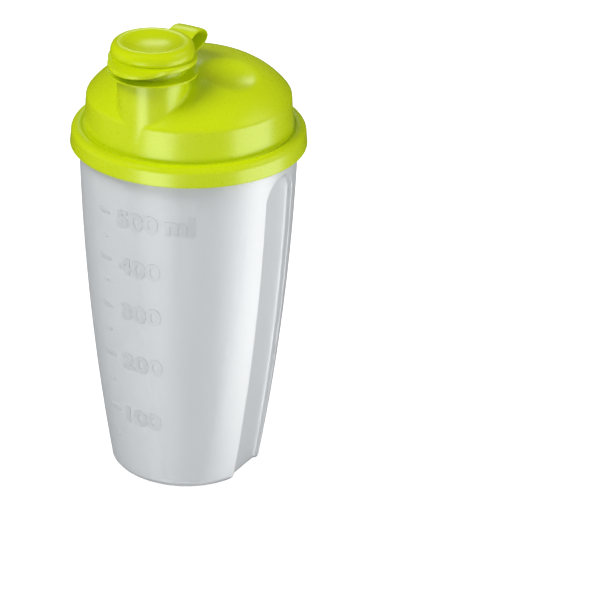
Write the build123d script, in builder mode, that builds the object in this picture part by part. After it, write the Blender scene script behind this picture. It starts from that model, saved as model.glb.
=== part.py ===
from build123d import *
import math
import os

# Salad dressing shaker bottle, in millimetres
# The origin is the centre of the base, on the surface that the beaker stands on, with +Z up.
# The spout is towards -Y, the cap's strap towards +Y, and the two finger grips are at -X and +X.

# Driving dimensions of the beaker
WALL = 1.4
FOOT_R = 30.72
FOOT_SLOPE = 0.161
WAIST_R = 39.65
WAIST_Z = 71.0
MOUTH_R = 43.75
MOUTH_Z = 148.6
MOUTH_FLANGE_R = 45.15
MOUTH_FLANGE_HEIGHT = 2.4
MOUTH_EDGE_R = 0.6
BASE_THICKNESS = 1.8
FOOT_ROUNDING = 2.4

# Driving dimensions of the two finger grips
GRIP_TOP_Z = 137.5
GRIP_HALF_WIDTH = 9.4
GRIP_DEPTH = 3.0
GRIP_CORNER_R = 1.6
GRIP_EDGE_R = 0.8

# Driving dimensions of the lid's skirt and rim
LID_WALL = 1.6
SKIRT_R = 47.35
SKIRT_Z = 143.0
SKIRT_TOP_R = 46.85
SKIRT_BORE_R = 45.3
SKIRT_EDGE_R = 0.5
RIM_ROUNDING = 3.0
RIM_TOP_Z = 151.05
RIM_CREST_SPAN = 110.0
GROOVE_WIDTH = 0.38
GROOVE_RISE = 0.12
CHANNEL_Z = 149.6
PLUG_LIP_R = 41.6
PLUG_LIP_Z = 144.5

# Driving dimensions of the lid's turret and dome
TURRET_R = 41.45
TURRET_FOOT_Z = 152.0
DOME_TOP_Z = 178.8
CROWN_SPHERE_R = 90.2
CROWN_EDGE_R = 22.35
DOME_SIDE_R = 33.35
SHOULDER_ANGLE = 53.1

# Driving dimensions of the two thumb dishes in the dome
DISH_X = 19.6
DISH_Y = -1.5
DISH_Z = 175.7
DISH_SLOPE = 14.3
DISH_R = 10.5
DISH_SPHERE_R = 30.0
DISH_EDGE_R = 2.5

# Driving dimensions of the spout
SPOUT_Y = -27.0
SPOUT_FOOT_R = 14.1
SPOUT_R = 13.6
SPOUT_BORE_R = 12.0
SPOUT_TOP_Z = 186.1
SPOUT_EDGE_R = 0.4
RING_SEAT_Z = 181.2
RING_SEAT_R = 13.05

# Driving dimensions of the cap
CAP_FLANGE_R = 17.2
CAP_FLANGE_TOP_Z = 188.5
CAP_FLANGE_THICKNESS = 2.1
CAP_BEAD_R = 16.3
CAP_BEAD_FOOT_Z = 189.4
CAP_BEAD_CREST_R = 13.4
CAP_TOP_Z = 194.2
CAP_DISH_R = 10.0
CAP_DISH_Z = 191.3
CAP_DISH_LEAN = 0.5
CAP_SKIN = 1.4
STOPPER_R = 11.9
STOPPER_TIP_R = 11.6
STOPPER_WALL = 1.3
STOPPER_Z = 181.4

# Driving dimensions of the thumb tab, a drooping round lip that reaches out from the flange
TAB_R = 13.5
TAB_OFFSET = 7.1
TAB_FALL = 0.45
TAB_UNDERSIDE_FALL = 0.34

# Driving dimensions of the tether: the ring round the spout and the looped strap
RING_R = 17.6
RING_THICKNESS = 0.9
RING_EDGE_R = 0.3
STRAP_WIDTH = 11.8
STRAP_THICKNESS = 1.1
STRAP_LINE = (
    (-13.5, 181.7),
    (-9.5, 181.8),
    (-4.2, 183.4),
    (-0.2, 184.6),
    (2.9, 186.0),
    (3.8, 188.0),
    (2.0, 190.2),
    (-1.2, 191.2),
    (-4.8, 190.9),
    (-8.3, 189.3),
    (-10.6, 187.8),
    (-13.5, 186.6),
)

# Clearances between the pieces, and a margin for cutting right through
RUNNING_GAP = 0.1
REST_GAP = 0.05
MARGIN = 5.0

# Values that follow from the driving dimensions
SPOUT_AXIS = Axis((0, SPOUT_Y, 0), (0, 0, 1))
SPOUT_SECTION = Plane.XZ.offset(-SPOUT_Y)
STANDING = (Align.CENTER, Align.CENTER, Align.MIN)
CROWN_ANGLE = math.degrees(math.asin(CROWN_EDGE_R / CROWN_SPHERE_R))
CROWN_CENTRE = Vector(0, DOME_TOP_Z - CROWN_SPHERE_R)
CROWN_EDGE_AXIS = Vector(0, 1).rotate(Axis.Z, -CROWN_ANGLE)
DOME_SIDE_CENTRE = CROWN_CENTRE + CROWN_EDGE_AXIS * (CROWN_SPHERE_R - DOME_SIDE_R)
SHOULDER = DOME_SIDE_CENTRE + Vector(0, DOME_SIDE_R).rotate(Axis.Z, -SHOULDER_ANGLE)
CAP_FLANGE_BASE_Z = CAP_FLANGE_TOP_Z - CAP_FLANGE_THICKNESS


def beaker_blank(inset):
    """Solid of revolution inside the beaker's bulging wall, drawn in by inset, with a flat base."""
    foot = (FOOT_R - inset, inset)
    waist = (WAIST_R - inset, WAIST_Z)
    mouth = (MOUTH_R - inset, MOUTH_Z)
    with BuildPart() as blank:
        with BuildSketch(Plane.YZ):
            with BuildLine():
                ThreePointArc(foot, waist, mouth)
                Polyline(mouth, (0, MOUTH_Z), (0, inset), foot)
            make_face()
        revolve(axis=Axis.Z)
    return blank.part


def grip_block(grow, side):
    """The space that one finger grip takes out of the wall: a tall arch over a curved floor."""
    half_width = GRIP_HALF_WIDTH + grow
    depth = GRIP_DEPTH + grow
    arch_z = GRIP_TOP_Z - GRIP_HALF_WIDTH
    foot = (side * (FOOT_R - FOOT_SLOPE * MARGIN - depth), -MARGIN)
    waist = (side * (WAIST_R - depth), WAIST_Z)
    mouth = (side * (MOUTH_R - depth), MOUTH_Z)
    with BuildPart() as grip:
        with BuildSketch(Plane.YZ):
            with BuildLine():
                Line((-half_width, -MARGIN), (-half_width, arch_z))
                ThreePointArc((-half_width, arch_z), (0, arch_z + half_width), (half_width, arch_z))
                Polyline((half_width, arch_z), (half_width, -MARGIN), (-half_width, -MARGIN))
            make_face()
        extrude(amount=side * (MOUTH_R + MARGIN))
        with BuildSketch(Plane.XZ):
            with BuildLine():
                ThreePointArc(foot, waist, mouth)
                Polyline(mouth, (-side, MOUTH_Z), (-side, -MARGIN), foot)
            make_face()
        extrude(amount=2 * GRIP_HALF_WIDTH, both=True, mode=Mode.SUBTRACT)
        fillet(grip.edges().filter_by(is_grip_floor_edge), GRIP_CORNER_R + grow)
    return grip.part


def is_grip_floor_edge(edge):
    """True for the edges where a grip's floor meets its side walls and its arch."""
    middle = edge @ 0.5
    on_floor = abs(middle.X) < MOUTH_R and middle.Z > -MARGIN
    beside = abs(middle.Y) > 1 or middle.Z > WAIST_Z
    return on_floor and beside and abs((edge % 0.5).X) < 0.5


def is_grip_rim_edge(edge):
    """True for the edges where the two grips break through the beaker's wall."""
    middle = edge @ 0.5
    beside = abs(middle.Y) > 1 or middle.Z > WAIST_Z
    return beside and FOOT_ROUNDING < middle.Z < MOUTH_Z - 1 and abs(middle.X) > FOOT_R - GRIP_DEPTH


def dome_outline(inset):
    """Two tangent arcs from the dome's top to its shoulder, drawn in by inset, for the open outline."""
    crown = CenterArc(CROWN_CENTRE, CROWN_SPHERE_R - inset, 90 - CROWN_ANGLE, CROWN_ANGLE)
    side_span = SHOULDER_ANGLE - CROWN_ANGLE
    side = CenterArc(DOME_SIDE_CENTRE, DOME_SIDE_R - inset, 90 - SHOULDER_ANGLE, side_span)
    return crown @ 1, side @ 0


def thumb_dish(grow, side):
    """The ball that hollows out one thumb dish through a circle on the dome, made larger by grow."""
    lift = Vector(0, 0, math.sqrt(DISH_SPHERE_R**2 - DISH_R**2)).rotate(Axis.Y, DISH_SLOPE)
    with BuildPart() as dish:
        with Locations((side * (DISH_X + lift.X), DISH_Y, DISH_Z + lift.Z)):
            Sphere(DISH_SPHERE_R + grow)
    return dish.part


def is_dish_edge(edge):
    """True for the edges round the thumb dishes, which don't keep one distance from the lid's axis."""
    start = edge @ 0
    middle = edge @ 0.5
    spread = abs(math.hypot(start.X, start.Y) - math.hypot(middle.X, middle.Y))
    return abs(middle.X) > 1 and middle.Z > SHOULDER.Y and spread > 0.2


# Beaker: a thin translucent cup with a flange round its mouth and a finger grip in each side
with BuildPart() as beaker_core:
    add(beaker_blank(WALL))
    for side in (-1, 1):
        add(grip_block(WALL, side), mode=Mode.SUBTRACT)
    split(bisect_by=Plane.XY.offset(BASE_THICKNESS), keep=Keep.TOP)

with BuildPart() as beaker:
    add(beaker_blank(0))
    for side in (-1, 1):
        add(grip_block(0, side), mode=Mode.SUBTRACT)
    fillet(beaker.faces().sort_by(Axis.Z)[0].edges(), FOOT_ROUNDING)
    fillet(beaker.edges().filter_by(is_grip_rim_edge), GRIP_EDGE_R)
    with Locations((0, 0, MOUTH_Z - MOUTH_FLANGE_HEIGHT)):
        Cylinder(MOUTH_FLANGE_R, MOUTH_FLANGE_HEIGHT, align=STANDING)
    mouth_edges = beaker.edges().filter_by_position(Axis.Z, MOUTH_Z - MOUTH_FLANGE_HEIGHT, MOUTH_Z)
    fillet(mouth_edges.filter_by(GeomType.CIRCLE).group_by(SortBy.RADIUS)[-1], MOUTH_EDGE_R)
    add(beaker_core.part, mode=Mode.SUBTRACT)

# Lid: a push-on skirt, a round turret with a domed top, and the spout, moulded in one piece
with BuildPart() as lid_core:
    with BuildSketch(Plane.YZ):
        with BuildLine():
            top, shoulder = dome_outline(LID_WALL)
            Polyline(
                shoulder,
                (TURRET_R - LID_WALL, TURRET_FOOT_Z),
                (TURRET_R - LID_WALL, SKIRT_Z - MARGIN),
                (0, SKIRT_Z - MARGIN),
                top,
            )
        make_face()
    revolve(axis=Axis.Z)
    for side in (-1, 1):
        add(thumb_dish(LID_WALL, side), mode=Mode.SUBTRACT)
    with Locations((0, SPOUT_Y, SHOULDER.Y)):
        Cylinder(SPOUT_BORE_R, SPOUT_TOP_Z - SHOULDER.Y + MARGIN, align=STANDING)
    with BuildSketch(Plane.XY.offset(SKIRT_Z - MARGIN)):
        Circle(SKIRT_BORE_R)
        Circle(PLUG_LIP_R, mode=Mode.SUBTRACT)
    extrude(amount=CHANNEL_Z - SKIRT_Z + MARGIN)
    with BuildSketch(Plane.XY.offset(SKIRT_Z - MARGIN)):
        Circle(PLUG_LIP_R)
    extrude(amount=PLUG_LIP_Z - SKIRT_Z + MARGIN)

with BuildPart() as lid:
    with BuildSketch(Plane.YZ):
        with BuildLine():
            rim_z = RIM_TOP_Z - RIM_ROUNDING
            rim_r = SKIRT_TOP_R - RIM_ROUNDING
            Line((0, SKIRT_Z), (SKIRT_R, SKIRT_Z))
            Line((SKIRT_R, SKIRT_Z), (SKIRT_TOP_R, rim_z))
            crest = CenterArc((rim_r, rim_z), RIM_ROUNDING, 0, RIM_CREST_SPAN)
            groove = (TURRET_R + GROOVE_WIDTH, (crest @ 1).Y + GROOVE_RISE)
            ThreePointArc(crest @ 1, groove, (TURRET_R, TURRET_FOOT_Z))
            top, shoulder = dome_outline(0)
            Line((TURRET_R, TURRET_FOOT_Z), shoulder)
            Line(top, (0, SKIRT_Z))
        make_face()
    revolve(axis=Axis.Z)
    for side in (-1, 1):
        add(thumb_dish(0, side), mode=Mode.SUBTRACT)
    fillet(lid.edges().filter_by(is_dish_edge), DISH_EDGE_R)
    fillet(lid.faces().sort_by(Axis.Z)[0].edges(), SKIRT_EDGE_R)
    with BuildSketch(SPOUT_SECTION):
        with BuildLine():
            Polyline(
                (0, TURRET_FOOT_Z),
                (SPOUT_FOOT_R, TURRET_FOOT_Z),
                (SPOUT_FOOT_R, SHOULDER.Y),
                (SPOUT_R, RING_SEAT_Z),
                (RING_SEAT_R, RING_SEAT_Z),
                (RING_SEAT_R, SPOUT_TOP_Z),
                (0, SPOUT_TOP_Z),
                close=True,
            )
        make_face()
    revolve(axis=SPOUT_AXIS)
    fillet(lid.faces().sort_by(Axis.Z)[-1].edges(), SPOUT_EDGE_R)
    add(lid_core.part, mode=Mode.SUBTRACT)

# Lid seal: a soft flat ring in the channel under the lid's rim, on the beaker's mouth
with BuildPart() as lid_seal:
    with BuildSketch(Plane.XY.offset(MOUTH_Z + REST_GAP)):
        Circle(SKIRT_BORE_R)
        Circle(PLUG_LIP_R, mode=Mode.SUBTRACT)
    extrude(amount=CHANNEL_Z - MOUTH_Z - REST_GAP)

# Tether ring: the flat ring of the cap's strap, which lies on the spout's step and can turn there
with BuildPart() as tether_ring:
    with BuildSketch(Plane.XY.offset(RING_SEAT_Z + REST_GAP)):
        with Locations((0, SPOUT_Y)):
            Circle(RING_R)
            Circle(RING_SEAT_R + RUNNING_GAP, mode=Mode.SUBTRACT)
    extrude(amount=RING_THICKNESS)
    fillet(tether_ring.edges().filter_by(GeomType.CIRCLE).group_by(SortBy.RADIUS)[-1], RING_EDGE_R)

# Thumb tab: a drooping lip on the cap's flange, part of the cap's moulding
with BuildPart() as thumb_tab:
    with BuildSketch(SPOUT_SECTION):
        with BuildLine():
            tip_r = TAB_OFFSET + TAB_R
            reach = tip_r - CAP_BEAD_R
            Polyline(
                (STOPPER_R, CAP_FLANGE_BASE_Z),
                (CAP_BEAD_R, CAP_FLANGE_BASE_Z),
                (tip_r, CAP_FLANGE_BASE_Z - TAB_UNDERSIDE_FALL * reach),
                (tip_r, CAP_FLANGE_TOP_Z - TAB_FALL * reach),
                (CAP_BEAD_R, CAP_FLANGE_TOP_Z),
                (STOPPER_R, CAP_FLANGE_TOP_Z),
                close=True,
            )
        make_face()
    revolve(axis=SPOUT_AXIS)
    with Locations((0, SPOUT_Y - TAB_OFFSET, CAP_FLANGE_BASE_Z)):
        Cylinder(TAB_R, 2 * MARGIN, mode=Mode.INTERSECT)

# Spout cap: a dished top inside a round bead, a flange with the thumb tab, and a tube stopper
with BuildPart() as spout_cap:
    with BuildSketch(SPOUT_SECTION):
        with BuildLine():
            bead_foot = (CAP_BEAD_R, CAP_BEAD_FOOT_Z)
            crest = (CAP_BEAD_CREST_R, CAP_TOP_Z)
            dish_side = (CAP_DISH_R, (CAP_TOP_Z + CAP_DISH_Z) / 2 - CAP_DISH_LEAN)
            Spline(bead_foot, crest, dish_side, (0, CAP_DISH_Z), tangents=((0, 1), (-1, 0)))
            Polyline(
                (0, CAP_DISH_Z),
                (0, CAP_DISH_Z - CAP_SKIN),
                (STOPPER_R - STOPPER_WALL, CAP_DISH_Z - CAP_SKIN),
                (STOPPER_TIP_R - STOPPER_WALL, STOPPER_Z),
                (STOPPER_TIP_R, STOPPER_Z),
                (STOPPER_R, CAP_FLANGE_BASE_Z),
                (CAP_BEAD_R, CAP_FLANGE_BASE_Z),
                bead_foot,
            )
        make_face()
    revolve(axis=SPOUT_AXIS)
    with BuildSketch(Plane.XY.offset(CAP_FLANGE_BASE_Z)):
        with Locations((0, SPOUT_Y)):
            Circle(CAP_FLANGE_R)
            Circle(STOPPER_R, mode=Mode.SUBTRACT)
    extrude(amount=CAP_FLANGE_THICKNESS)
    add(thumb_tab.part)

# Hinge strap: a thin flexible band, looped from the ring up and over to the cap's flange
with BuildPart() as hinge_strap:
    with BuildSketch(Plane.YZ):
        with BuildLine():
            Spline(STRAP_LINE)
        trace(line_width=STRAP_THICKNESS)
    extrude(amount=STRAP_WIDTH / 2, both=True)
    with Locations((0, SPOUT_Y, RING_SEAT_Z)):
        Cylinder(RING_R, MARGIN, mode=Mode.SUBTRACT)
    with Locations((0, SPOUT_Y, CAP_FLANGE_BASE_Z)):
        Cylinder(CAP_FLANGE_R + REST_GAP, MARGIN, mode=Mode.SUBTRACT)

# Files: one for each piece, named as the piece
pieces = {
    "beaker": beaker,
    "lid": lid,
    "lid_seal": lid_seal,
    "tether_ring": tether_ring,
    "hinge_strap": hinge_strap,
    "spout_cap": spout_cap,
}
os.makedirs("parts", exist_ok=True)
for name, piece in pieces.items():
    piece.part.label = name
    export_step(piece.part, f"parts/{name}.step")
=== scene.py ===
import math

import bmesh
import bpy
import numpy as np
from mathutils import Matrix, Vector


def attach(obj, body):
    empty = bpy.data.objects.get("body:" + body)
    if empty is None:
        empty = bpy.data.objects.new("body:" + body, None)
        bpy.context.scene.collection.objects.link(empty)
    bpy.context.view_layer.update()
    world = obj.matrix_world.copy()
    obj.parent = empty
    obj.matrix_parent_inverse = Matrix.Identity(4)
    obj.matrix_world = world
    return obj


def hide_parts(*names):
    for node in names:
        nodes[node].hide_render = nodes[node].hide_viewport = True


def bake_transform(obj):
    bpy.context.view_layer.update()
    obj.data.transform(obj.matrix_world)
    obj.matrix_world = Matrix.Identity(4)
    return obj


# Shaker bottle for salad dressing, in the frame of its CAD model: base on z = 0, spout towards -Y.
# Shapes are worked out in millimetres and turned to metres when their mesh is made.
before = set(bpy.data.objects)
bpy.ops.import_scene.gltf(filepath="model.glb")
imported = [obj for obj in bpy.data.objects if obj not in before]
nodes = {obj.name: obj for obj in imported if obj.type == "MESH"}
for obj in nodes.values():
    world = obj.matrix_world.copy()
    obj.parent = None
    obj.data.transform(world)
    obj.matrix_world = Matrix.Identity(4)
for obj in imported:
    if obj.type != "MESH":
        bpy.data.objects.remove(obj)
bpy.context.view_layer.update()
MM = 0.001

# Beaker wall, as three points of its bulging outline: radius and height
FOOT = (30.72, 0.0)
WAIST = (39.65, 71.0)
MOUTH = (43.75, 148.6)
BEAKER_WALL = 1.4
BASE_THICKNESS = 1.8
FOOT_ROUNDING = 2.4
MOUTH_FLANGE_R = 45.15
MOUTH_FLANGE_Z = 146.2

# Finger grips: a tall arch over a flat floor, at -X and +X
GRIP_HALF_WIDTH = 9.4
GRIP_ARCH_Z = 128.1
GRIP_DEPTH = 3.0
GRIP_CORNER_R = 1.6
GRIP_EDGE_R = 0.9
GRIP_MARGIN = 1.3
GRIP_FLOOR_REACH = 7.9
GRIP_WALL_START = 8.0
GRIP_PRESS_START = 0.5
GRIP_PRESS_BAND = 1.9
GRIP_SIDE_X = 20
LEVEL_STEPS_BELOW_Z = 124
BARE_WALL_ABOVE_Z = 139.5

# Moulded scale on the spout side: numeral, its left edge and foot, its tick, and the tick half way below
MARK_HEIGHT = 0.2
NUMERAL_SIZE = 9.6
NUMERAL_STRETCH = 1.2
LETTER_SPACING = 1.06
LETTER_FATTENING = 0.045
LETTER_CUTS = (0.5, 30, 0.7)
ML_PLACE = (14.3, 121.3)
ML_SIZE = 10.5
TICK_SPAN = (-16.3, -10.1)
TICK_HEIGHT = 2.4
HALF_TICK_SPAN = (-14.2, -11.8)
HALF_TICK_HEIGHT = 1.4
SCALE = (
    ("500", -6.4, 121.0, 125.0, 114.0),
    ("400", -6.0, 100.2, 104.5, 94.2),
    ("300", -6.5, 79.7, 82.7, 71.4),
    ("200", -6.8, 56.0, 60.0, 47.5),
    ("100", -9.0, 29.5, 33.5, 19.4),
)

# Turret and dome of the lid
TURRET_R = 41.45
TURRET_FOOT_Z = 152.0
SHOULDER_R = 40.76
SHOULDER_Z = 163.7
DOME_TOP_Z = 178.8
CROWN_SPHERE_R = 90.2
CROWN_EDGE_R = 22.35
DOME_SIDE_R = 33.35
LID_WALL = 1.6
SHOULDER_ROUNDING = 0.6
TURRET_GROOVE = (
    (41.47, 151.5),
    (41.5, 150.95),
    (41.62, 150.5),
    (41.95, 150.32),
    (42.3, 150.42),
    (42.55, 150.62),
)

# Rim, skirt and plug lip of the lid
RIM_CENTRE = (43.85, 148.05)
RIM_ROUNDING = 3.0
RIM_START_DEGREES = 112
SKIRT_TOP = (46.85, 147.6)
SKIRT_R = 47.34
SKIRT_Z = 143.0
SKIRT_BORE_R = 45.3
CHANNEL_Z = 149.6
PLUG_LIP_R = 41.6
PLUG_LIP_Z = 144.5

# Thumb dishes: a ball of this radius pressed into the dome
DISH_CENTRE = (26.54, -1.5, 202.93)
DISH_BALL_R = 30.0
DISH_EDGE_ROUNDING = 1.4

# Spout
SPOUT_Y = -27.0
SPOUT_R = 13.6
SPOUT_WIDENING = 0.027
SPOUT_FILLET_R = 1.8
RING_SEAT_Z = 181.2
RING_SEAT_R = 13.05
SPOUT_TOP_Z = 186.1
SPOUT_BORE_R = 12.0
BORE_START_Z = 179.5
NECK_START_DROP = 0.7
NECK_FOOT_STEP = 0.55
ARC_OVER_CHORD = 1.08
CEILING_EDGE_GAP = 0.1

# Cap with its thumb tab
CAP_FLANGE_R = 17.2
CAP_FLANGE_TOP_Z = 188.5
CAP_FLANGE_BASE_Z = 186.4
CAP_EDGE_ROUNDING = 0.65
TAB_R = 13.49
TAB_OFFSET = 7.1
TAB_CORNER = 0.35
TAB_FALL = 0.45
TAB_UNDERSIDE_FALL = 0.34
TAB_FALL_START = 0.8
EDGE_FULLNESS = 0.7
UNDERSIDE_START = 0.4
BEAD_PROFILE = (
    (0.6, 191.31),
    (3.0, 191.43),
    (6.0, 191.85),
    (8.0, 192.35),
    (9.6, 193.0),
    (11.0, 193.72),
    (12.1, 194.08),
    (13.4, 194.2),
    (14.6, 193.85),
    (15.5, 193.0),
    (16.05, 191.9),
    (16.3, 190.7),
    (16.25, 189.7),
    (16.0, 189.05),
    (15.8, 188.72),
    (16.0, 188.54),
    (16.4, 188.5),
)
STOPPER_R = 11.9
STOPPER_TIP_R = 11.6
STOPPER_WALL = 1.3
STOPPER_Z = 181.4
CAP_SKIN_Z = 189.9

# Looped strap
STRAP_THICKNESS = 1.1
STRAP_WIDTH = 11.8
STRAP_EDGE = 0.45
STRAP_LINE = (
    (-11.8, 181.7),
    (-9.5, 181.8),
    (-4.2, 183.4),
    (-0.2, 184.6),
    (2.9, 186.0),
    (3.8, 188.0),
    (2.0, 190.2),
    (-1.2, 191.2),
    (-4.8, 190.9),
    (-8.3, 189.3),
    (-10.6, 187.8),
    (-12.2, 187.1),
)

# How the surfaces are divided into rows and columns. The beaker's levels are from, to and how many.
LID_COLUMNS = 320
LID_COLUMN_CROWDING = 0.35
LID_ROWS = 185
CEILING_ROWS = 26
CAP_COLUMNS = 400
BEAD_ROWS = 64
STRAP_ROWS = 150
STRAP_COLUMNS = 48
BEAKER_SIDE_COLUMNS = 62
BEAKER_LEVELS = ((5, 125, 40), (126, 139, 60), (141, 145.5, 4))
INNER_ROWS_STOP = 14
INNER_FLOOR_ROW = 11

# Camera, fitted to the photo: degrees, metres and shares of the frame
CAMERA_AZIMUTH = 31.5
CAMERA_ELEVATION = 26.19
CAMERA_DISTANCE = 1.045
CAMERA_TARGET_Z = 0.0855
CAMERA_ROLL = 0.009615
CAMERA_LENS = 153.54
CAMERA_SHIFT = (0.1876, -0.0509)

# Lamps: name, azimuth from the camera's, distance, width, height, height of centre, height aimed at,
# power, and whether it is seen in the gloss. Three make the highlights; five washes give even light.
LAMPS = (
    ("soft_box_left", -31, 0.6, 0.32, 0.62, -0.22, -0.22, 1.9, True),
    ("soft_box_right", 73, 0.6, 0.56, 0.62, -0.2, -0.2, 2.7, True),
    ("soft_box_back", 185, 0.64, 0.22, 0.22, 0.66, 0.18, 0.42, True),
    ("wash_top", -58, 0.75, 0.5, 0.5, 1.05, 0.12, 9.6, False),
    ("wash_left", -90, 0.8, 0.5, 0.5, 0.0, 0.06, 1.6, False),
    ("wash_front", 6, 0.9, 0.5, 0.5, -0.15, 0.08, 3.3, False),
    ("wash_right", 84, 0.8, 0.5, 0.5, 0.55, 0.12, 4.0, False),
    ("wash_back", 178, 0.8, 0.5, 0.5, 0.1, 0.06, 2.4, False),
)
FLOOR_GLOW = 0.84
ROOM_BELOW = 0.08
ROOM_ABOVE = 0.22
GLOSS_DIMMING = 0.85

# Values that follow from the sizes above
CROWN_ANGLE = math.asin(CROWN_EDGE_R / CROWN_SPHERE_R)
CROWN_CENTRE_Z = DOME_TOP_Z - CROWN_SPHERE_R
SIDE_CENTRE_R = (CROWN_SPHERE_R - DOME_SIDE_R) * math.sin(CROWN_ANGLE)
SIDE_CENTRE_Z = CROWN_CENTRE_Z + (CROWN_SPHERE_R - DOME_SIDE_R) * math.cos(CROWN_ANGLE)
TURRET_SLOPE = math.atan2(TURRET_R - SHOULDER_R, SHOULDER_Z - TURRET_FOOT_Z)


def linear(colour):
    """Linear RGBA of an sRGB hex colour."""
    channels = np.array([int(colour[i:i + 2], 16) for i in (1, 3, 5)]) / 255
    curve = np.where(channels <= 0.04045, channels / 12.92, ((channels + 0.055) / 1.055) ** 2.4)
    return (*curve.tolist(), 1.0)


def add_node(tree, kind, inputs=None, **settings):
    """Adds one node. Settings are its own attributes; inputs are values, or the sockets that feed them."""
    made = tree.nodes.new(kind)
    for name, value in settings.items():
        setattr(made, name, value)
    for name, value in (inputs or {}).items():
        if isinstance(value, bpy.types.NodeSocket):
            tree.links.new(value, made.inputs[name])
        else:
            made.inputs[name].default_value = value
    return made


def new_material(name):
    """An empty material with an output node; returns the material and its tree."""
    material = bpy.data.materials.new(name)
    material.use_nodes = True
    material.node_tree.nodes.clear()
    return material, material.node_tree


def soft_max(a, b, width):
    """The larger of two fields, with the corner between them rounded over a band of this width."""
    overlap = np.maximum(width - np.abs(a - b), 0)
    return np.maximum(a, b) + overlap**2 / np.maximum(4 * width, 1e-9)


def soft_min(a, b, width):
    """The smaller of two fields, with the corner between them filled over a band of this width."""
    return -soft_max(-a, -b, width)


def smooth_line(points, count):
    """A Catmull-Rom line through the points: cubic pieces whose slope at each point is half the way
    from the point before to the point after, spaced evenly along the line."""
    knots = np.array(points, float)
    padded = np.vstack([2 * knots[0] - knots[1], knots, 2 * knots[-1] - knots[-2]])
    slopes = (padded[2:] - padded[:-2]) / 2
    place = np.linspace(0, len(knots) - 1, 40 * len(knots))
    piece = np.minimum(place.astype(int), len(knots) - 2)
    t = (place - piece)[:, None]
    line = (
        (2 * t**3 - 3 * t**2 + 1) * knots[piece]
        + (t**3 - 2 * t**2 + t) * slopes[piece]
        + (3 * t**2 - 2 * t**3) * knots[piece + 1]
        + (t**3 - t**2) * slopes[piece + 1]
    )
    walked = np.concatenate([[0], np.cumsum(np.linalg.norm(np.diff(line, axis=0), axis=1))])
    even = np.linspace(0, walked[-1], count)
    return np.stack([np.interp(even, walked, line[:, i]) for i in range(line.shape[1])], axis=1)


def rounded_path(corners, steps=5):
    """A polyline with its corners rounded: corners are (x, z, cut), and each corner is a parabola
    between the two points that lie cut away from it along its sides."""
    spots = np.array([c[:2] for c in corners], float)
    cuts = [c[2] for c in corners]
    path = [spots[:1]]
    for i in range(1, len(spots) - 1):
        back = (spots[i - 1] - spots[i]) / np.linalg.norm(spots[i - 1] - spots[i])
        on = (spots[i + 1] - spots[i]) / np.linalg.norm(spots[i + 1] - spots[i])
        t = np.linspace(0, 1, steps)[:, None]
        start = spots[i] + back * cuts[i]
        end = spots[i] + on * cuts[i]
        path.append((1 - t) ** 2 * start + 2 * t * (1 - t) * spots[i] + t**2 * end)
    path.append(spots[-1:])
    return np.vstack(path)


def grid_piece(name, points, material, loop_rows=False, poles=(None, None), close_ends=False):
    """A mesh over a grid of points, rows by columns, in millimetres. Columns close on themselves; rows
    do too if loop_rows. A pole closes an end with a fan, and close_ends closes both with one face. The
    faces are turned by the sign of a rough volume, which leaves the beaker's facing inwards."""
    rows, columns = points.shape[:2]
    index = np.arange(rows * columns).reshape(rows, columns)
    if loop_rows:
        index = np.vstack([index, index[:1]])
    right = np.roll(index, -1, axis=1)
    quads = np.stack([index[:-1], right[:-1], right[1:], index[1:]], axis=-1).reshape(-1, 4)
    faces = quads.tolist()
    vertices = points.reshape(-1, 3)
    for pole, row, flip in ((poles[0], 0, False), (poles[1], -1, True)):
        if pole is not None:
            tip = np.full(columns, len(vertices))
            vertices = np.vstack([vertices, pole])
            fan = [tip, right[row], index[row]] if not flip else [tip, index[row], right[row]]
            faces += np.stack(fan, axis=-1).tolist()
    if close_ends:
        faces += [index[0][::-1].tolist(), index[-1].tolist()]
    corners = vertices[quads]
    centre = vertices.mean(axis=0)
    outward = np.cross(corners[:, 1] - corners[:, 0], corners[:, 3] - corners[:, 0])
    volume = ((corners.mean(axis=1) - centre) * outward).sum()
    if volume < 0:
        faces = [face[::-1] for face in faces]
    mesh = bpy.data.meshes.new(name)
    mesh.from_pydata((vertices * MM).tolist(), [], faces)
    mesh.shade_smooth()
    mesh.materials.append(material)
    piece = bpy.data.objects.new(name, mesh)
    bpy.context.scene.collection.objects.link(piece)
    return piece


def turned(profile, angles, centre_y=0.0):
    """A profile of (radius, height) rows turned through angles measured from -Y towards +X."""
    radius, height = profile[:, :1], profile[:, 1:2]
    return np.stack(
        [
            radius * np.sin(angles),
            centre_y - radius * np.cos(angles),
            np.broadcast_to(height, (len(profile), len(angles))),
        ],
        axis=-1,
    )


def dome_height(radius, inset):
    """Height of the dome's two tangent arcs at a radius: the crown's sphere, then the side's arc."""
    crown_edge = (CROWN_SPHERE_R - inset) * math.sin(CROWN_ANGLE)
    crown_r = np.minimum(radius, crown_edge)
    side_r = np.clip(radius - SIDE_CENTRE_R, 0, DOME_SIDE_R - inset - 0.01)
    crown = CROWN_CENTRE_Z + np.sqrt((CROWN_SPHERE_R - inset) ** 2 - crown_r**2)
    side = SIDE_CENTRE_Z + np.sqrt((DOME_SIDE_R - inset) ** 2 - side_r**2)
    return np.where(radius < crown_edge, crown, side)


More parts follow.
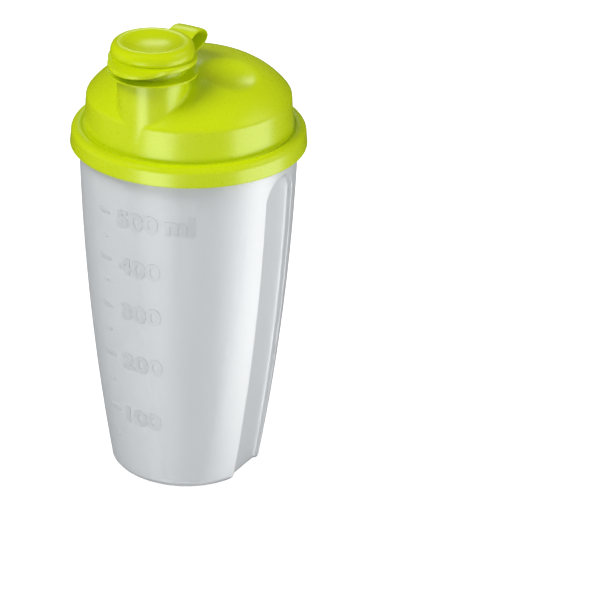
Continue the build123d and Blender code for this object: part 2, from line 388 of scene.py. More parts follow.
def turret_field(points, inset):
    """Signed distance from the turret: the dome's arcs and the slanting wall, cornered softly, with the
    two thumb dishes taken out as balls. Also gives the sine of the surface's angle from level."""
    radius = np.hypot(points[..., 0], points[..., 1])
    height = points[..., 2]
    crown = np.hypot(radius, height - CROWN_CENTRE_Z) - (CROWN_SPHERE_R - inset)
    side = np.hypot(radius - SIDE_CENTRE_R, height - SIDE_CENTRE_Z) - (DOME_SIDE_R - inset)
    tilt = np.arctan2(radius, height - CROWN_CENTRE_Z)
    side_tilt = np.arctan2(radius - SIDE_CENTRE_R, height - SIDE_CENTRE_Z)
    dome = np.where(tilt < CROWN_ANGLE, crown, side)
    wall = (radius - TURRET_R) * math.cos(TURRET_SLOPE) + (height - TURRET_FOOT_Z) * math.sin(TURRET_SLOPE)
    wall = wall + inset
    field = soft_max(dome, wall, SHOULDER_ROUNDING)
    dome_tilt = np.where(tilt < CROWN_ANGLE, tilt, side_tilt)
    steepness = np.where(wall > dome, math.cos(TURRET_SLOPE), np.sin(dome_tilt))
    for side_sign in (-1, 1):
        centre = np.array(DISH_CENTRE) * (side_sign, 1, 1)
        ball = DISH_BALL_R + inset - np.linalg.norm(points - centre, axis=-1)
        field = soft_max(field, ball, DISH_EDGE_ROUNDING)
    return field, steepness


def lid_field(points):
    """Signed distance from the turret and the spout joined with a fillet. The fillet's band narrows
    as the two surfaces come to face the same way, which keeps its radius and adds no bulge."""
    turret, steepness = turret_field(points, 0.0)
    across = points[..., :2] - (0, SPOUT_Y)
    reach = np.linalg.norm(across, axis=-1)
    spout = reach - SPOUT_R - SPOUT_WIDENING * (RING_SEAT_Z - points[..., 2])
    radius = np.linalg.norm(points[..., :2], axis=-1)
    facing = (across * points[..., :2]).sum(axis=-1) / np.maximum(reach * radius, 1e-6)
    band = SPOUT_FILLET_R * np.clip(1 - facing * steepness, 0.02, 2)
    return soft_min(turret, spout, band)


def settle(points, field, free=(1, 1, 1), rounds=5):
    """Moves the points onto a field's zero surface by Newton steps along its slope, which is taken
    from small central differences; free keeps the steps to some axes."""
    small = 0.01
    for _ in range(rounds):
        slope = np.stack(
            [
                (field(points + small * axis) - field(points - small * axis)) / (2 * small)
                for axis in np.eye(3)
            ],
            axis=-1,
        )
        slope = slope * free
        points = points - slope * (field(points) / np.maximum((slope**2).sum(axis=-1), 1e-3))[..., None]
    return points


def reach_of_circle(angles, radius):
    """Distance from the spout's axis, at each angle, out to a circle round the lid's axis."""
    along = -SPOUT_Y * np.cos(angles)
    return -along + np.sqrt(along**2 - SPOUT_Y**2 + radius**2)


def lid_points():
    """The whole lid as one closed grid. A column runs from the spout's bore over its lip, down the
    neck, over the dome, down the turret, round the rim and the skirt, up inside and back to the bore."""
    step = np.linspace(0, 2 * np.pi, LID_COLUMNS, endpoint=False)
    angles = step + LID_COLUMN_CROWDING * np.sin(step)
    lip = turned(
        rounded_path(
            (
                (SPOUT_BORE_R, BORE_START_Z, 0),
                (SPOUT_BORE_R, SPOUT_TOP_Z, 0.3),
                (RING_SEAT_R, SPOUT_TOP_Z, 0.35),
                (RING_SEAT_R, RING_SEAT_Z, 0.12),
                (SPOUT_R, RING_SEAT_Z, 0.25),
                (SPOUT_R, RING_SEAT_Z - 0.5, 0),
            ),
            steps=4,
        ),
        angles,
        SPOUT_Y,
    )

    share = np.linspace(0, 1, LID_ROWS)[:, None]
    neck_top_z = RING_SEAT_Z - NECK_START_DROP
    foot_reach = SPOUT_R + NECK_FOOT_STEP
    foot_x = foot_reach * np.sin(angles)
    foot_y = SPOUT_Y - foot_reach * np.cos(angles)
    foot_r = np.hypot(foot_x, foot_y)
    wall_z = SHOULDER_Z - (foot_r - SHOULDER_R) / math.tan(TURRET_SLOPE)
    foot_z = np.where(foot_r < SHOULDER_R, dome_height(foot_r, 0), wall_z)
    shoulder_reach = np.maximum(reach_of_circle(angles, SHOULDER_R), foot_reach)
    shoulder_z = np.minimum(SHOULDER_Z, foot_z)
    base_reach = reach_of_circle(angles, TURRET_R)
    neck_length = neck_top_z - foot_z
    dome_length = ARC_OVER_CHORD * np.hypot(shoulder_reach - foot_reach, foot_z - shoulder_z)
    wall_length = shoulder_z - TURRET_FOOT_Z
    walked = share * (neck_length + dome_length + wall_length)
    on_neck = np.clip(walked / neck_length, 0, 1)
    on_dome = np.clip((walked - neck_length) / np.maximum(dome_length, 1e-6), 0, 1)
    on_wall = np.clip((walked - neck_length - dome_length) / wall_length, 0, 1)
    reach = SPOUT_R + (foot_reach - SPOUT_R) * on_neck + (shoulder_reach - foot_reach) * on_dome
    reach = reach + (base_reach - shoulder_reach) * on_wall
    x = reach * np.sin(angles)
    y = SPOUT_Y - reach * np.cos(angles)
    neck_z = neck_top_z - neck_length * on_neck
    past_shoulder = shoulder_z - wall_length * on_wall
    dome_z = dome_height(np.minimum(np.hypot(x, y), SHOULDER_R), 0)
    on_top = np.minimum(dome_z, foot_z + 20)
    z = np.where(on_neck < 1, neck_z, np.where(on_wall > 0, past_shoulder, on_top))
    z = np.where((on_neck >= 1) & (dome_length < 0.01) & (on_wall <= 0), foot_z, z)
    outside = settle(np.stack([x, y, z], axis=-1), lid_field)

    base_x = base_reach * np.sin(angles)
    base_y = SPOUT_Y - base_reach * np.cos(angles)
    round_axis = np.arctan2(base_x, -base_y)
    rim_turn = np.linspace(math.radians(RIM_START_DEGREES), 0, 16)
    rim = np.stack(
        [RIM_CENTRE[0] + RIM_ROUNDING * np.cos(rim_turn), RIM_CENTRE[1] + RIM_ROUNDING * np.sin(rim_turn)],
        axis=-1,
    )
    groove = smooth_line(TURRET_GROOVE, 12)
    inner_wall_r = TURRET_R - LID_WALL
    ceiling_z = SHOULDER_Z - LID_WALL
    ceiling_r = inner_wall_r - (ceiling_z - TURRET_FOOT_Z) * math.tan(TURRET_SLOPE)
    skirt = rounded_path(
        (
            (*SKIRT_TOP, 0),
            (SKIRT_R, SKIRT_Z, 0.5),
            (SKIRT_BORE_R, SKIRT_Z, 0.4),
            (SKIRT_BORE_R, CHANNEL_Z, 0.3),
            (PLUG_LIP_R, CHANNEL_Z, 0.3),
            (PLUG_LIP_R, PLUG_LIP_Z, 0.5),
            (inner_wall_r, PLUG_LIP_Z, 0.5),
            (inner_wall_r, TURRET_FOOT_Z, 0.2),
            (ceiling_r, ceiling_z, 0),
        ),
        steps=4,
    )
    below = turned(np.vstack([groove, rim, skirt]), round_axis)

    inside_r = SHOULDER_R - LID_WALL - CEILING_EDGE_GAP
    inside_reach = reach_of_circle(angles, inside_r)
    inward = np.linspace(1, 0, CEILING_ROWS)[:, None]
    reach = SPOUT_BORE_R + (np.maximum(inside_reach, SPOUT_BORE_R + 0.02) - SPOUT_BORE_R) * inward
    x = reach * np.sin(angles)
    y = SPOUT_Y - reach * np.cos(angles)
    z = dome_height(np.hypot(x, y), LID_WALL)
    ceiling = settle(
        np.stack([x, y, z], axis=-1), lambda spots: turret_field(spots, LID_WALL)[0], free=(0, 0, 1)
    )
    return np.concatenate([lip[1:], outside, below, ceiling], axis=0)


def tab_reach(angles):
    """Distance from the spout's axis to the cap's edge: the flange's circle joined, at two soft corners,
    to the tab's smaller circle, whose centre stands forward of the spout's."""
    across = np.minimum(np.abs(TAB_OFFSET * np.sin(angles)), TAB_R)
    tab = TAB_OFFSET * np.cos(angles) + np.sqrt(TAB_R**2 - across**2)
    return soft_max(tab, CAP_FLANGE_R, TAB_CORNER)


def droop(reach, start, fall):
    """Fall of the tab's surface beyond a starting distance, easing in over about a millimetre."""
    past = reach - start
    return fall * (np.sqrt(past**2 + 0.5) + past) / 2


def cap_points():
    """The cap as a polar grid from the middle of its dish to the middle of its underside: bead, flange
    with the drooping tab, a rounded edge, the underside, and the tube stopper."""
    angles = np.linspace(-np.pi, np.pi, CAP_COLUMNS, endpoint=False)
    edge = tab_reach(angles)
    top = turned(smooth_line(BEAD_PROFILE, BEAD_ROWS), angles, SPOUT_Y)

    share = np.linspace(0.05, 1, 12)[:, None]
    start = BEAD_PROFILE[-1][0]
    reach = start + (edge - CAP_EDGE_ROUNDING - start) * share
    fall_start = start + TAB_FALL_START
    flange_z = CAP_FLANGE_TOP_Z - droop(reach, fall_start, TAB_FALL) + droop(start, fall_start, TAB_FALL)
    turn = np.linspace(np.pi / 2, -np.pi / 2, 13)[1:-1, None]
    edge_top = flange_z[-1]
    edge_base = CAP_FLANGE_BASE_Z - droop(edge, CAP_FLANGE_R, TAB_UNDERSIDE_FALL)
    edge_reach = edge - CAP_EDGE_ROUNDING + CAP_EDGE_ROUNDING * np.cos(turn) ** EDGE_FULLNESS
    lean = np.sign(np.sin(turn)) * np.abs(np.sin(turn)) ** EDGE_FULLNESS
    edge_z = (edge_top + edge_base) / 2 + (edge_top - edge_base) / 2 * lean
    back = np.linspace(1, 0, 8)[:, None]
    under_span = edge - CAP_EDGE_ROUNDING - STOPPER_R - UNDERSIDE_START
    under_reach = STOPPER_R + UNDERSIDE_START + under_span * back
    under_z = CAP_FLANGE_BASE_Z - droop(under_reach, CAP_FLANGE_R, TAB_UNDERSIDE_FALL)
    reach = np.vstack([reach, edge_reach, under_reach])
    height = np.vstack([flange_z, edge_z, under_z])
    flange = np.stack([reach * np.sin(angles), SPOUT_Y - reach * np.cos(angles), height], axis=-1)

    stopper = turned(
        rounded_path(
            (
                (STOPPER_R + 0.3, CAP_FLANGE_BASE_Z, 0),
                (STOPPER_R, CAP_FLANGE_BASE_Z, 0.2),
                (STOPPER_TIP_R, STOPPER_Z, 0.4),
                (STOPPER_TIP_R - STOPPER_WALL, STOPPER_Z, 0.3),
                (STOPPER_R - STOPPER_WALL, CAP_SKIN_Z, 0.6),
                (0.6, CAP_SKIN_Z, 0),
            ),
            steps=5,
        ),
        angles,
        SPOUT_Y,
    )
    return np.concatenate([top, flange, stopper], axis=0)


def strap_points():
    """The strap: a flat section with rounded edges carried along the looped line, square to it."""
    line = smooth_line(STRAP_LINE, STRAP_ROWS)
    heading = np.gradient(line, axis=0)
    heading = heading / np.linalg.norm(heading, axis=1, keepdims=True)
    normal = np.stack([-heading[:, 1], heading[:, 0]], axis=1)
    turn = np.linspace(0, 2 * np.pi, STRAP_COLUMNS, endpoint=False)
    wide = np.sign(np.cos(turn)) * np.abs(np.cos(turn)) ** 0.5
    thick = np.sign(np.sin(turn)) * np.abs(np.sin(turn)) ** 0.6
    side = wide * (STRAP_WIDTH / 2 - STRAP_EDGE) + np.sign(wide) * STRAP_EDGE * np.abs(wide) ** 4
    offset = STRAP_THICKNESS / 2 * thick
    return np.stack(
        [
            np.broadcast_to(side, (len(line), len(turn))),
            line[:, :1] + normal[:, :1] * offset,
            line[:, 1:] + normal[:, 1:] * offset,
        ],
        axis=-1,
    )


def beaker_wall_radius(height):
    """Radius of the beaker's outside at a height: the circle through foot, waist and mouth."""
    (x1, y1), (x2, y2), (x3, y3) = FOOT, WAIST, MOUTH
    equations = np.array([[x2 - x1, y2 - y1], [x3 - x1, y3 - y1]]) * 2
    known = np.array([x2**2 - x1**2 + y2**2 - y1**2, x3**2 - x1**2 + y3**2 - y1**2])
    cx, cy = np.linalg.solve(equations, known)
    bulge = math.hypot(x1 - cx, y1 - cy)
    return cx + np.sqrt(bulge**2 - (height - cy) ** 2)


def arch_depth(y, z):
    """How far a place on the side of the beaker lies inside the grip's arch: a straight-sided strip
    that ends at the top in a half circle."""
    return GRIP_HALF_WIDTH - np.hypot(y, np.maximum(z - GRIP_ARCH_Z, 0))


def beaker_field(points, inset=0.0):
    """Signed distance from the beaker's outside: the bulging wall less the two grips, each the soft
    smaller of its arch and the space above its floor, drawn in over the rounded foot."""
    x, y, z = np.abs(points[..., 0]), points[..., 1], points[..., 2]
    radius = beaker_wall_radius(z)
    wall = np.hypot(x, y) - radius
    grip = soft_min(arch_depth(y, z), x - (radius - GRIP_DEPTH), GRIP_CORNER_R)
    low = np.clip(FOOT_ROUNDING - z, 0, FOOT_ROUNDING)
    foot = FOOT_ROUNDING - np.sqrt(FOOT_ROUNDING**2 - low**2)
    return soft_max(wall, grip, GRIP_EDGE_R) + foot + inset


def beaker_section(height):
    """The beaker's outline at each height before the grips are pressed in: columns stand at fixed
    places across each grip, close together at its edges, and at even angles between the grips."""
    edge = GRIP_HALF_WIDTH + GRIP_MARGIN
    across = np.concatenate([np.linspace(0, GRIP_FLOOR_REACH, 36), np.linspace(GRIP_WALL_START, edge, 25)])
    across = np.concatenate([-across[:0:-1], across])
    radius = beaker_wall_radius(height)[:, None]
    side = np.sqrt(radius**2 - across**2)
    start = np.arctan2(edge, np.sqrt(radius**2 - edge**2))
    share = np.linspace(0, 1, BEAKER_SIDE_COLUMNS)[1:-1]
    turn = start + (np.pi - 2 * start) * share
    flat = np.broadcast_to(across, side.shape)
    x = np.hstack([side, radius * np.cos(turn), -side, -radius * np.cos(turn)])
    y = np.hstack([flat, radius * np.sin(turn), -flat, -radius * np.sin(turn)])
    return x, y


def beaker_points():
    """The beaker as a polar grid from the middle of its base, out and up the outside with its grips,
    over the mouth's flange, and down the inside to the middle of the floor. On the flat base the
    columns at the grips' corners fold over each other a little."""
    fillet = FOOT_ROUNDING * (1 - np.cos(np.linspace(0, np.pi / 2, 9)))
    heights = np.concatenate([fillet, *(np.linspace(*levels) for levels in BEAKER_LEVELS)])
    x, y = beaker_section(heights)
    z = np.broadcast_to(heights[:, None], x.shape)
    pressed = np.clip((arch_depth(y, z) + GRIP_PRESS_START) / GRIP_PRESS_BAND, 0, 1)
    pressed = pressed**2 * (3 - 2 * pressed) * (np.abs(x) > GRIP_SIDE_X)
    floor_x = beaker_wall_radius(z) - GRIP_DEPTH
    x = x + pressed * (np.sign(x) * floor_x - x)
    start = np.stack([x, y, z], axis=-1)
    level = (heights < LEVEL_STEPS_BELOW_Z)[:, None, None]
    outside = np.where(
        level,
        settle(start, beaker_field, free=(1, 1, 0), rounds=8),
        settle(start, beaker_field, rounds=8),
    )
    bare = (heights > BARE_WALL_ABOVE_Z)[:, None, None]
    outside = np.where(bare, start, outside)

    angles = np.arctan2(outside[-1, :, 0], -outside[-1, :, 1])
    mouth = turned(
        rounded_path(
            (
                (43.66, 146.0, 0),
                (43.68, MOUTH_FLANGE_Z, 0.15),
                (MOUTH_FLANGE_R, MOUTH_FLANGE_Z, 0.5),
                (MOUTH_FLANGE_R, MOUTH[1], 0.6),
                (MOUTH[0] - BEAKER_WALL, MOUTH[1], 0.4),
                (MOUTH[0] - BEAKER_WALL - 0.05, 146.0, 0),
            ),
            steps=5,
        ),
        angles,
    )
    kept = np.concatenate([np.arange(len(heights) - 1, INNER_ROWS_STOP, -2), [INNER_FLOOR_ROW]])
    shifted = outside[kept].copy()
    outline = shifted[..., :2]
    shifted[..., :2] = outline * (1 - BEAKER_WALL / np.linalg.norm(outline, axis=-1, keepdims=True))
    inside = settle(shifted, lambda spots: beaker_field(spots, BEAKER_WALL), free=(1, 1, 0), rounds=8)
    floor = inside[-1:].copy()
    floor[..., 2] = BASE_THICKNESS
    inner_floor = np.concatenate([floor, floor * (0.5, 0.5, 1)])
    base = outside[:1] * (0.5, 0.5, 1)
    return np.concatenate([base, outside, mouth, inside, inner_floor])


def on_beaker(across, up, proud):
    """Places on the beaker's spout side: (across, up) goes to y = -sqrt(radius squared - across
    squared), with the wall's radius at that height made larger by proud."""
    radius = beaker_wall_radius(up) + proud
    return np.stack([across, -np.sqrt(radius**2 - across**2), up], axis=-1)


def raised_bar(name, left, right, middle_z, height, material):
    """A raised bar with round ends: its outline shrinks to its middle line while its surface rises
    from just inside the wall and rounds over at the top."""
    half = height / 2
    turn = np.linspace(0, 2 * np.pi, 36, endpoint=False)
    end_x = np.where(np.cos(turn) > 0, right - half, left + half)
    share = np.array([1.0, 0.98, 0.9, 0.78, 0.5, 0.15])[:, None]
    proud = np.array([-0.15, 0.06, 0.16, MARK_HEIGHT, MARK_HEIGHT, MARK_HEIGHT])[:, None]
    across = end_x + half * share * np.cos(turn)
    up = middle_z + half * share * np.sin(turn)
    spots = on_beaker(across, up, proud)
    low = on_beaker(across[:1], up[:1], np.full((1, 1), -0.3))
    return grid_piece(name, np.concatenate([low, spots]), material, close_ends=True)


def raised_words(name, words, left, low_z, size, stretch, material):
    """Raised lettering: flat letters cut into narrow strips, then laid on the beaker's wall and
    standing a little proud of it."""
    text = bpy.data.curves.new(name, "FONT")
    text.body = words
    text.size = size
    text.offset = LETTER_FATTENING * size
    text.extrude = MARK_HEIGHT
    text.bevel_depth = 0.0
    text.space_character = LETTER_SPACING
    holder = bpy.data.objects.new(name + "_flat", text)
    bpy.context.scene.collection.objects.link(holder)
    bpy.context.view_layer.update()
    flat = bpy.data.meshes.new_from_object(holder)
    bpy.data.objects.remove(holder)
    worked = bmesh.new()
    worked.from_mesh(flat)
    for cut in np.arange(*LETTER_CUTS):
        geometry = list(worked.verts) + list(worked.edges) + list(worked.faces)
        bmesh.ops.bisect_plane(worked, geom=geometry, plane_co=(cut, 0, 0), plane_no=(1, 0, 0))
    bmesh.ops.triangulate(worked, faces=list(worked.faces))
    worked.to_mesh(flat)
    worked.free()
    spots = np.zeros(len(flat.vertices) * 3)
    flat.vertices.foreach_get("co", spots)
    spots = spots.reshape(-1, 3) * (stretch, 1, 1)
    spots = on_beaker(spots[:, 0] + left, spots[:, 1] + low_z, spots[:, 2])
    flat.vertices.foreach_set("co", (spots * MM).ravel())
    flat.materials.clear()
    flat.materials.append(material)
    piece = bpy.data.objects.new(name, flat)
    bpy.context.scene.collection.objects.link(piece)
    return piece


def lid_finish():
    """Injection-moulded polypropylene in lime green. Its spark-eroded mould leaves a fine dry grain, so
    highlights are broad, pale and slightly grainy. The grain is drawn 0.8 mm wide, much coarser than the
    real one, so that it shows. It varies the roughness and gives a faint bump."""
    material, tree = new_material("polypropylene_lime_spark_eroded")
    place = add_node(tree, "ShaderNodeTexCoord").outputs["Object"]
    grain = add_node(
        tree,
        "ShaderNodeTexNoise",
        {"Vector": place, "Scale": 1 / (0.8 * MM), "Detail": 2.0, "Roughness": 0.6},
    )
    flow = add_node(tree, "ShaderNodeTexNoise", {"Vector": place, "Scale": 1 / (25 * MM), "Detail": 1.0})
    tone = add_node(
        tree,
        "ShaderNodeMix",
        {"Factor": flow.outputs["Fac"], 6: linear("#C6DB00"), 7: linear("#CBDE00")},
        data_type="RGBA",
    )
    satin = add_node(
        tree,
        "ShaderNodeMapRange",
        {"Value": grain.outputs["Fac"], "To Min": 0.23, "To Max": 0.35},
    )
    bump = add_node(
        tree,
        "ShaderNodeBump",
        {"Height": grain.outputs["Fac"], "Strength": 0.15, "Distance": 0.03 * MM},
    )
    plastic = add_node(
        tree,
        "ShaderNodeBsdfPrincipled",
        {
            "Base Color": tone.outputs[2],
            "Roughness": satin.outputs["Result"],
            "IOR": 1.49,
            "Specular IOR Level": 0.9,
            "Normal": bump.outputs["Normal"],
        },
    )
    add_node(tree, "ShaderNodeOutputMaterial", {"Surface": plastic.outputs["BSDF"]})
    return material


def cap_finish():
    """Injection-moulded low-density polyethylene in the same lime green: soft enough to flex in the
    strap, a little smoother and waxier than the lid, with a grain of about 0.25 mm."""
    material, tree = new_material("polyethylene_lime_satin")
    place = add_node(tree, "ShaderNodeTexCoord").outputs["Object"]
    grain = add_node(
        tree,
        "ShaderNodeTexNoise",
        {"Vector": place, "Scale": 1 / (0.25 * MM), "Detail": 2.0, "Roughness": 0.5},
    )
    tone = add_node(
        tree,
        "ShaderNodeMix",
        {"Factor": grain.outputs["Fac"], 6: linear("#C4D800"), 7: linear("#CADC00")},
        data_type="RGBA",
    )
    satin = add_node(
        tree,
        "ShaderNodeMapRange",
        {"Value": grain.outputs["Fac"], "To Min": 0.24, "To Max": 0.32},
    )
    bump = add_node(
        tree,
        "ShaderNodeBump",
        {"Height": grain.outputs["Fac"], "Strength": 0.08, "Distance": 0.1 * MM},
    )
    plastic = add_node(
        tree,
        "ShaderNodeBsdfPrincipled",
        {
            "Base Color": tone.outputs[2],
            "Roughness": satin.outputs["Result"],
            "IOR": 1.51,
            "Specular IOR Level": 0.5,
            "Normal": bump.outputs["Normal"],
        },
    )
    add_node(tree, "ShaderNodeOutputMaterial", {"Surface": plastic.outputs["BSDF"]})
    return material


def beaker_finish():
    """Natural polypropylene, injection moulded with a frosted outside: milky, only a little
    see-through, cool grey against white, with a satin sheen and faint vertical flow marks."""
    material, tree = new_material("polypropylene_natural_frosted")
    place = add_node(tree, "ShaderNodeTexCoord").outputs["Object"]
    stretched = add_node(tree, "ShaderNodeMapping", {"Vector": place, "Scale": (1, 1, 0.12)})
    flow = add_node(
        tree,
        "ShaderNodeTexNoise",
        {"Vector": stretched.outputs["Vector"], "Scale": 1 / (8 * MM), "Detail": 2.0},
    )
    frost = add_node(
        tree,
        "ShaderNodeTexNoise",
        {"Vector": place, "Scale": 1 / (0.25 * MM), "Detail": 1.0},
    )
    tone = add_node(
        tree,
        "ShaderNodeMix",
        {"Factor": flow.outputs["Fac"], 6: linear("#D8DCDF"), 7: linear("#DEE2E5")},
        data_type="RGBA",
    )
    satin = add_node(
        tree,
        "ShaderNodeMapRange",
        {"Value": frost.outputs["Fac"], "To Min": 0.34, "To Max": 0.42},
    )
    bump = add_node(
        tree,
        "ShaderNodeBump",
        {"Height": frost.outputs["Fac"], "Strength": 0.06, "Distance": 0.1 * MM},
    )
    plastic = add_node(
        tree,
        "ShaderNodeBsdfPrincipled",
        {
            "Base Color": tone.outputs[2],
            "Roughness": satin.outputs["Result"],
            "IOR": 1.49,
            "Specular IOR Level": 0.36,
            "Transmission Weight": 0.22,
            "Normal": bump.outputs["Normal"],
        },
    )
    add_node(tree, "ShaderNodeOutputMaterial", {"Surface": plastic.outputs["BSDF"]})
    return material


def mark_finish():
    """The same natural polypropylene where the mould is polished: raised marks that scatter less than
    the frosted wall, so they are a shade darker and a little glossier."""
    material, tree = new_material("polypropylene_natural_polished")
    place = add_node(tree, "ShaderNodeTexCoord").outputs["Object"]
    ripple = add_node(tree, "ShaderNodeTexNoise", {"Vector": place, "Scale": 1 / (1.5 * MM)})
    tone = add_node(
        tree,
        "ShaderNodeMix",
        {"Factor": ripple.outputs["Fac"], 6: linear("#CED3D6"), 7: linear("#D5D9DC")},
        data_type="RGBA",
    )
    bump = add_node(
        tree,
        "ShaderNodeBump",
        {"Height": ripple.outputs["Fac"], "Strength": 0.1, "Distance": 0.1 * MM},
    )
    plastic = add_node(
        tree,
        "ShaderNodeBsdfPrincipled",
        {
            "Base Color": tone.outputs[2],
            "Roughness": 0.3,
            "IOR": 1.49,
            "Transmission Weight": 0.15,
            "Normal": bump.outputs["Normal"],
        },
    )
    add_node(tree, "ShaderNodeOutputMaterial", {"Surface": plastic.outputs["BSDF"]})
    return material


def seal_finish():
    """Moulded silicone rubber, milky and dull, with a soft sheen."""
    material, tree = new_material("silicone_rubber_milky")
    place = add_node(tree, "ShaderNodeTexCoord").outputs["Object"]
    grain = add_node(tree, "ShaderNodeTexNoise", {"Vector": place, "Scale": 1 / (0.5 * MM)})
    bump = add_node(
        tree,
        "ShaderNodeBump",
        {"Height": grain.outputs["Fac"], "Strength": 0.1, "Distance": 0.05 * MM},
    )
    rubber = add_node(
        tree,
        "ShaderNodeBsdfPrincipled",
        {
            "Base Color": linear("#D6D8D9"),
            "Roughness": 0.6,
            "IOR": 1.41,
            "Normal": bump.outputs["Normal"],
        },
    )
    add_node(tree, "ShaderNodeOutputMaterial", {"Surface": rubber.outputs["BSDF"]})
    return material


def backdrop_finish():
    """White paper sweep. A glow that only the camera and rays through the beaker see lifts it to the
    white of the background; what falls on it besides keeps the soft shadow."""
    material, tree = new_material("paper_white_sweep")
    path = add_node(tree, "ShaderNodeLightPath")
    seen = add_node(
        tree,
        "ShaderNodeMath",
        {0: path.outputs["Is Camera Ray"], 1: path.outputs["Is Transmission Ray"]},
        operation="MAXIMUM",
    )
    lifted = add_node(tree, "ShaderNodeMath", {0: seen.outputs[0], 1: FLOOR_GLOW}, operation="MULTIPLY")
    paper = add_node(tree, "ShaderNodeBsdfDiffuse", {"Color": linear("#CCCCCC")})
    glow = add_node(tree, "ShaderNodeEmission", {"Color": (1, 1, 1, 1), "Strength": lifted.outputs[0]})
    both = add_node(tree, "ShaderNodeAddShader", {0: paper.outputs[0], 1: glow.outputs[0]})
    add_node(tree, "ShaderNodeOutputMaterial", {"Surface": both.outputs[0]})
    return material


def soft_box(name, azimuth, distance, width, height, centre_z, aim_z, power, mirrored):
    """An area lamp that faces the bottle from an azimuth measured from the camera's. A mirrored one is
    seen in the gloss only; the others give even light and leave no image of their own."""
    turn = math.radians(CAMERA_AZIMUTH + azimuth)
    lamp = bpy.data.lights.new(name, "AREA")
    lamp.shape = "RECTANGLE"
    lamp.size = width
    lamp.size_y = height
    lamp.energy = power
    holder = bpy.data.objects.new(name, lamp)
    holder.visible_camera = False
    holder.visible_glossy = mirrored
    holder.visible_diffuse = not mirrored
    holder.visible_transmission = False
    place = Vector((distance * math.sin(turn), -distance * math.cos(turn), centre_z))
    facing = Vector((0, 0, aim_z)) - place
    holder.matrix_world = Matrix.Translation(place) @ facing.to_track_quat("-Z", "Y").to_matrix().to_4x4()
    bpy.context.scene.collection.objects.link(holder)
    return holder


lime = lid_finish()
lime_soft = cap_finish()
frosted = beaker_finish()
polished = mark_finish()
silicone = seal_finish()

lid = grid_piece("lid_shell", lid_points(), lime, loop_rows=True)
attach(lid, "lid_body")
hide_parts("lid")

cap = grid_piece(
    "cap_with_thumb_tab",
    cap_points(),
    lime_soft,
    poles=((0, SPOUT_Y, BEAD_PROFILE[0][1]), (0, SPOUT_Y, CAP_SKIN_Z)),
)
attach(cap, "cap_body")
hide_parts("spout_cap")

strap = grid_piece("looped_strap", strap_points(), lime_soft, close_ends=True)
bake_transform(strap)
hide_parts("hinge_strap")

for name, material in (("lid_seal", silicone), ("tether_ring", lime_soft)):
    mesh = nodes[name].data
    mesh.materials.clear()
    mesh.materials.append(material)

beaker = grid_piece(
    "beaker_cup",
    beaker_points(),
    frosted,
    poles=((0, 0, 0), (0, 0, BASE_THICKNESS)),
)
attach(beaker, "beaker_body")
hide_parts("beaker")

marks = [raised_words("scale_ml", "ml", *ML_PLACE, ML_SIZE, 1.0, polished)]
for words, left, low_z, tick_z, half_z in SCALE:
    name = "scale_" + words
    marks.append(raised_words(name, words, left, low_z, NUMERAL_SIZE, NUMERAL_STRETCH, polished))
    marks.append(raised_bar("tick_" + words, *TICK_SPAN, tick_z, TICK_HEIGHT, polished))
    marks.append(raised_bar("half_tick_" + words, *HALF_TICK_SPAN, half_z, HALF_TICK_HEIGHT, polished))
for mark in marks:
    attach(mark, "beaker_body")

# White sweep. It stays out of the gloss and blocks no lamp, because some lamps reach below its level.
sweep_mesh = bpy.data.meshes.new("sweep")
sweep_mesh.from_pydata([(-4, -4, 0), (4, -4, 0), (4, 4, 0), (-4, 4, 0)], [], [(0, 1, 2, 3)])
sweep_mesh.materials.append(backdrop_finish())
sweep = bpy.data.objects.new("sweep", sweep_mesh)
bpy.context.scene.collection.objects.link(sweep)
sweep.visible_glossy = False
sweep.visible_shadow = False

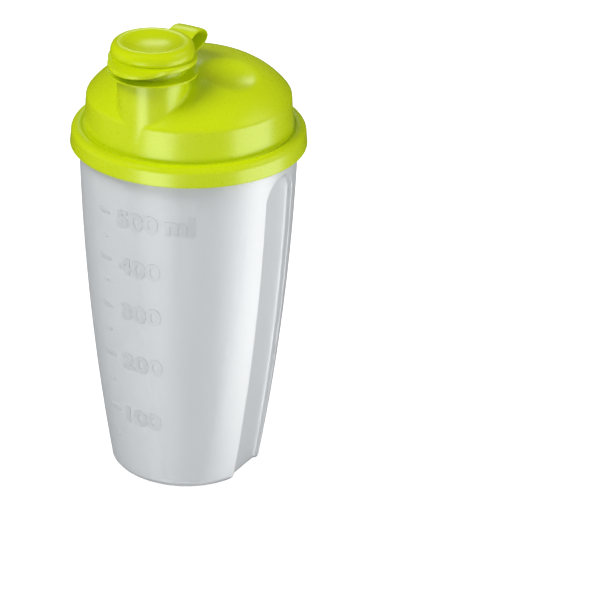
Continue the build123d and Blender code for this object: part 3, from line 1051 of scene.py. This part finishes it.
# Room: white to the camera and through the beaker, a dim even light elsewhere, and dimmer still in the
# gloss, so that the lime keeps its colour
world = bpy.context.scene.world or bpy.data.worlds.new("studio")
bpy.context.scene.world = world
world.use_nodes = True
world.node_tree.nodes.clear()
path = add_node(world.node_tree, "ShaderNodeLightPath")
seen = add_node(
    world.node_tree,
    "ShaderNodeMath",
    {0: path.outputs["Is Camera Ray"], 1: path.outputs["Is Transmission Ray"]},
    operation="MAXIMUM",
)
heading = add_node(
    world.node_tree,
    "ShaderNodeSeparateXYZ",
    {"Vector": add_node(world.node_tree, "ShaderNodeTexCoord").outputs["Generated"]},
)
room = add_node(
    world.node_tree,
    "ShaderNodeMapRange",
    {
        "Value": heading.outputs["Z"],
        "From Min": -0.1,
        "From Max": 0.1,
        "To Min": ROOM_BELOW,
        "To Max": ROOM_ABOVE,
    },
)
calm = add_node(
    world.node_tree,
    "ShaderNodeMath",
    {0: path.outputs["Is Glossy Ray"], 1: -GLOSS_DIMMING, 2: 1.0},
    operation="MULTIPLY_ADD",
)
dimmed = add_node(
    world.node_tree,
    "ShaderNodeMath",
    {0: room.outputs["Result"], 1: calm.outputs[0]},
    operation="MULTIPLY",
)
strength = add_node(
    world.node_tree,
    "ShaderNodeMath",
    {0: dimmed.outputs[0], 1: seen.outputs[0]},
    operation="MAXIMUM",
)
world.cycles.sampling_method = "NONE"
sky = add_node(
    world.node_tree, "ShaderNodeBackground", {"Color": (1, 1, 1, 1), "Strength": strength.outputs[0]}
)
add_node(world.node_tree, "ShaderNodeOutputWorld", {"Surface": sky.outputs[0]})

for lamp in LAMPS:
    soft_box(*lamp)

# Camera: fitted to the rim, the base and the turret, with its frame slid across to where the bottle stands
camera_data = bpy.data.cameras.new("camera")
camera_data.sensor_width = 36
camera_data.lens = CAMERA_LENS
camera_data.shift_x, camera_data.shift_y = CAMERA_SHIFT
camera_data.clip_start = 0.05
camera_data.clip_end = 20
camera = bpy.data.objects.new("camera", camera_data)
elevation = math.radians(CAMERA_ELEVATION)
azimuth = math.radians(CAMERA_AZIMUTH)
target = Vector((0, 0, CAMERA_TARGET_Z))
away = Vector(
    (math.sin(azimuth) * math.cos(elevation), -math.cos(azimuth) * math.cos(elevation), math.sin(elevation))
)
roll = Matrix.Rotation(CAMERA_ROLL, 4, "Z")
turned_view = (-away).to_track_quat("-Z", "Y").to_matrix().to_4x4() @ roll
camera.matrix_world = Matrix.Translation(target + away * CAMERA_DISTANCE) @ turned_view
bpy.context.scene.collection.objects.link(camera)
bpy.context.scene.camera = camera
bpy.context.scene.view_settings.view_transform = "Standard"
